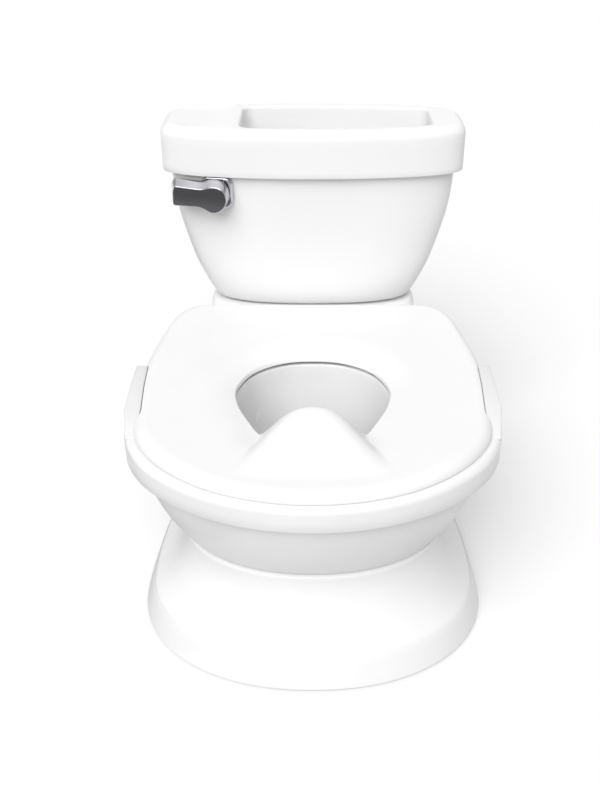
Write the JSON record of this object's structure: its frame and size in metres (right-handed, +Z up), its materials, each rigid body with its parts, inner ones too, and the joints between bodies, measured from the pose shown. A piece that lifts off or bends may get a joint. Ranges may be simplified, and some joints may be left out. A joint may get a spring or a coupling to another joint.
{
  "type": "potty training chair",
  "caption": "Child's potty chair shaped like a small toilet: pedestal, bowl shell, lift-out pot, lift-off seat with splash guard, tank with lid and wipes tray, and a sprung flush lever.",
  "frame": {"origin": "on the floor, at the middle of the chair's outline seen from above", "axes": "+Z up, the seated child faces -Y, the tank is at +Y, +X is on the right of someone who looks at the front"},
  "size_m": [0.3338, 0.448, 0.4],
  "materials": {
    "shell_white": "smooth semi-gloss white polypropylene",
    "seat_white": "smooth semi-gloss white polypropylene",
    "pot_white": "smooth semi-gloss white polypropylene",
    "lever_chrome": "mirror chrome on moulded plastic",
    "hardware_steel": "zinc-plated steel",
    "grey_rubber": "matt grey thermoplastic rubber",
    "inner_grey": "plain grey moulding",
    "board_green": "green solder mask",
    "cell_black": "plain black sleeve",
    "part_black": "matt black"
  },
  "bodies": {
    "base": {"pedestal": "shell_white", "foot_pad_front_right": "grey_rubber", "foot_pad_front_left": "grey_rubber", "foot_pad_rear_right": "grey_rubber", "foot_pad_rear_left": "grey_rubber", "bowl_shell": "shell_white", "base_screw_1": "hardware_steel", "base_screw_2": "hardware_steel", "base_screw_3": "hardware_steel", "base_screw_4": "hardware_steel", "tank_body": "shell_white", "tank_screw_1": "hardware_steel", "tank_screw_2": "hardware_steel", "battery_door": "shell_white", "battery_door_screw": "hardware_steel", "sound_module_case": "inner_grey", "sound_module_cover": "inner_grey", "cover_screw_1": "hardware_steel", "cover_screw_2": "hardware_steel", "case_screw_1": "hardware_steel", "case_screw_2": "hardware_steel", "circuit_board": "board_green", "speaker": "part_black", "switch_body": "part_black", "battery_cell_1": "cell_black", "battery_cell_2": "cell_black", "battery_contact_1": "hardware_steel", "battery_contact_2": "hardware_steel", "lever_escutcheon": "lever_chrome", "lever_nut": "inner_grey", "lever_return_spring": "hardware_steel"},
    "pot": {"pot": "pot_white"},
    "seat": {"seat": "seat_white", "seat_bumper_front_right": "grey_rubber", "seat_bumper_front_left": "grey_rubber", "seat_bumper_rear_right": "grey_rubber", "seat_bumper_rear_left": "grey_rubber"},
    "lid": {"tank_lid": "shell_white"},
    "lever": {"flush_lever": "lever_chrome", "lever_shaft": "hardware_steel", "lever_crank": "inner_grey", "crank_screw": "hardware_steel"},
    "plunger": {"switch_plunger": "inner_grey"}
  },
  "joints": [
    {"name": "pot_lift", "type": "slide", "parent": "base", "child": "pot", "axis": [0, 0, 1], "range_m": [0, 0.045]},
    {"name": "seat_lift", "type": "slide", "parent": "pot", "child": "seat", "axis": [0, 0, 1], "range_m": [0, 0.045]},
    {"name": "lid_lift", "type": "slide", "parent": "base", "child": "lid", "axis": [0, 0, 1], "range_m": [0, 0.09]},
    {"name": "lever_press", "type": "hinge", "parent": "base", "child": "lever", "pos_m": [-0.095, 0.1181, 0.338], "axis": [-0.1849, -0.9828, 0], "range_deg": [0, 22], "stiffness_Nm_per_rad": 0.25, "springref_deg": -28.65},
    {"name": "plunger_press", "type": "slide", "parent": "base", "child": "plunger", "axis": [1, 0, 0], "range_m": [0, 0.0056]}
  ],
  "couplings": [
    {"joint": "plunger_press", "follows": "lever_press", "m_per_rad": 0.0142}
  ]
}
